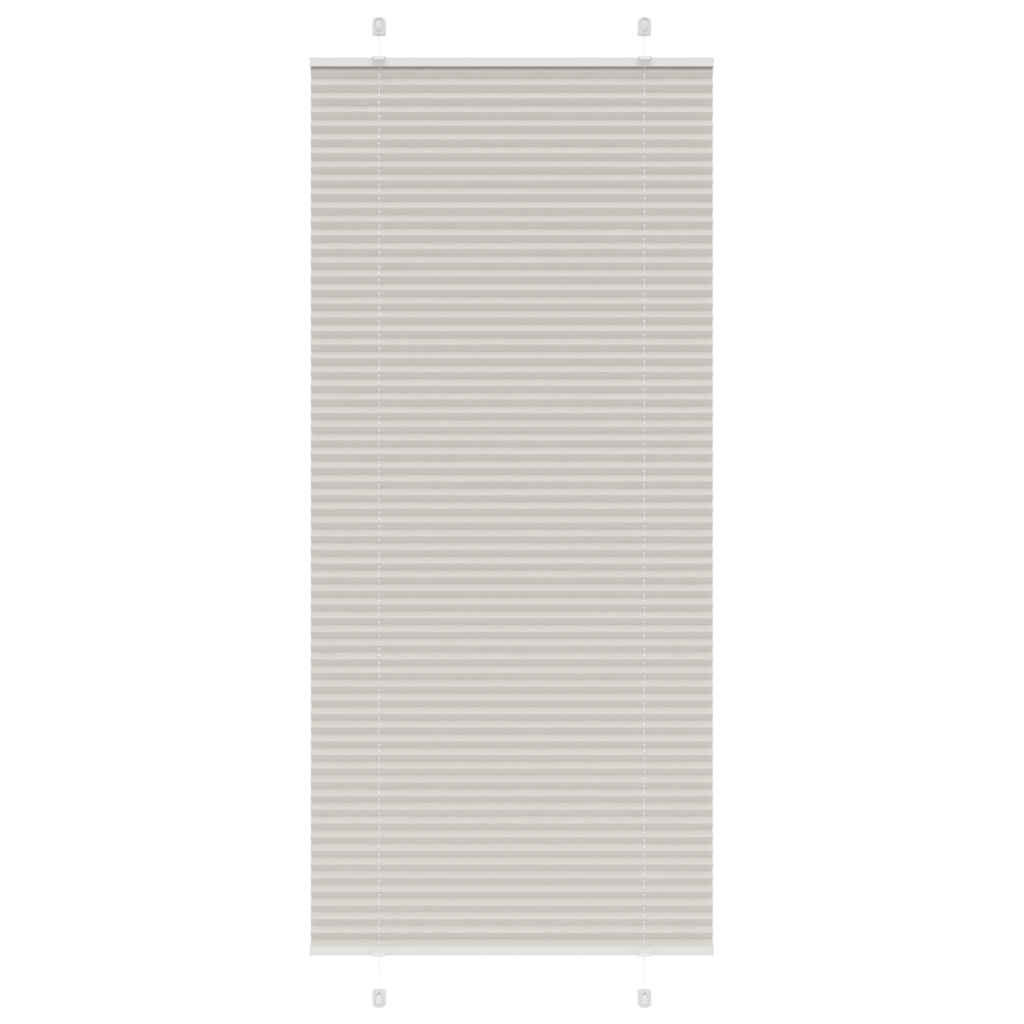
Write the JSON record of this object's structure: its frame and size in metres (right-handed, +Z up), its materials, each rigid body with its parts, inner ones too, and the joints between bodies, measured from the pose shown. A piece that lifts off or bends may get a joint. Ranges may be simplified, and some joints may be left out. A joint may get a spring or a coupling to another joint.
{
  "type": "pleated blind",
  "caption": "Pleated blind: light grey folded fabric between white rails that both slide up and down on taut cords held by small tension shoes.",
  "frame": {"origin": "centre of the four screw holes, on the face of the window frame that the shoes are screwed to", "axes": "+Z up along the cords, +X to the right seen from the room, -Y towards the room"},
  "size_m": [0.9, 0.0425, 2.209],
  "materials": {
    "pleated_cloth": "matt woven polyester",
    "coated_rail": "satin powder coat",
    "white_plastic": "fine satin",
    "inner_plastic": "matt",
    "shoe_plastic": "satin, slightly translucent",
    "core_plastic": "smooth",
    "cord": "braided"
  },
  "bodies": {
    "window_fittings": {"pleated_fabric": "pleated_cloth", "left_cord": "cord", "right_cord": "cord", "top_left_shoe": "shoe_plastic", "top_right_shoe": "shoe_plastic", "bottom_left_shoe": "shoe_plastic", "bottom_right_shoe": "shoe_plastic", "top_left_cord_core": "core_plastic", "top_right_cord_core": "core_plastic", "bottom_left_cord_core": "core_plastic", "bottom_right_cord_core": "core_plastic"},
    "top_rail": {"top_rail_profile": "coated_rail", "top_rail_fabric_strip": "inner_plastic", "top_rail_left_cap": "white_plastic", "top_rail_right_cap": "white_plastic", "top_rail_left_guide": "inner_plastic", "top_rail_right_guide": "inner_plastic", "top_rail_left_grip": "white_plastic", "top_rail_right_grip": "white_plastic", "top_rail_front_crossing_cord": "cord", "top_rail_rear_crossing_cord": "cord"},
    "bottom_rail": {"bottom_rail_profile": "coated_rail", "bottom_rail_fabric_strip": "inner_plastic", "bottom_rail_left_cap": "white_plastic", "bottom_rail_right_cap": "white_plastic", "bottom_rail_left_guide": "inner_plastic", "bottom_rail_right_guide": "inner_plastic", "bottom_rail_left_grip": "white_plastic", "bottom_rail_right_grip": "white_plastic", "bottom_rail_front_crossing_cord": "cord", "bottom_rail_rear_crossing_cord": "cord"}
  },
  "joints": [
    {"name": "top_rail_slide", "type": "slide", "parent": "window_fittings", "child": "top_rail", "axis": [0, 0, 1], "range_m": [-1.9, 0], "deforming": ["pleated_fabric"]},
    {"name": "bottom_rail_slide", "type": "slide", "parent": "window_fittings", "child": "bottom_rail", "axis": [0, 0, 1], "range_m": [0, 1.9], "deforming": ["pleated_fabric"]}
  ]
}
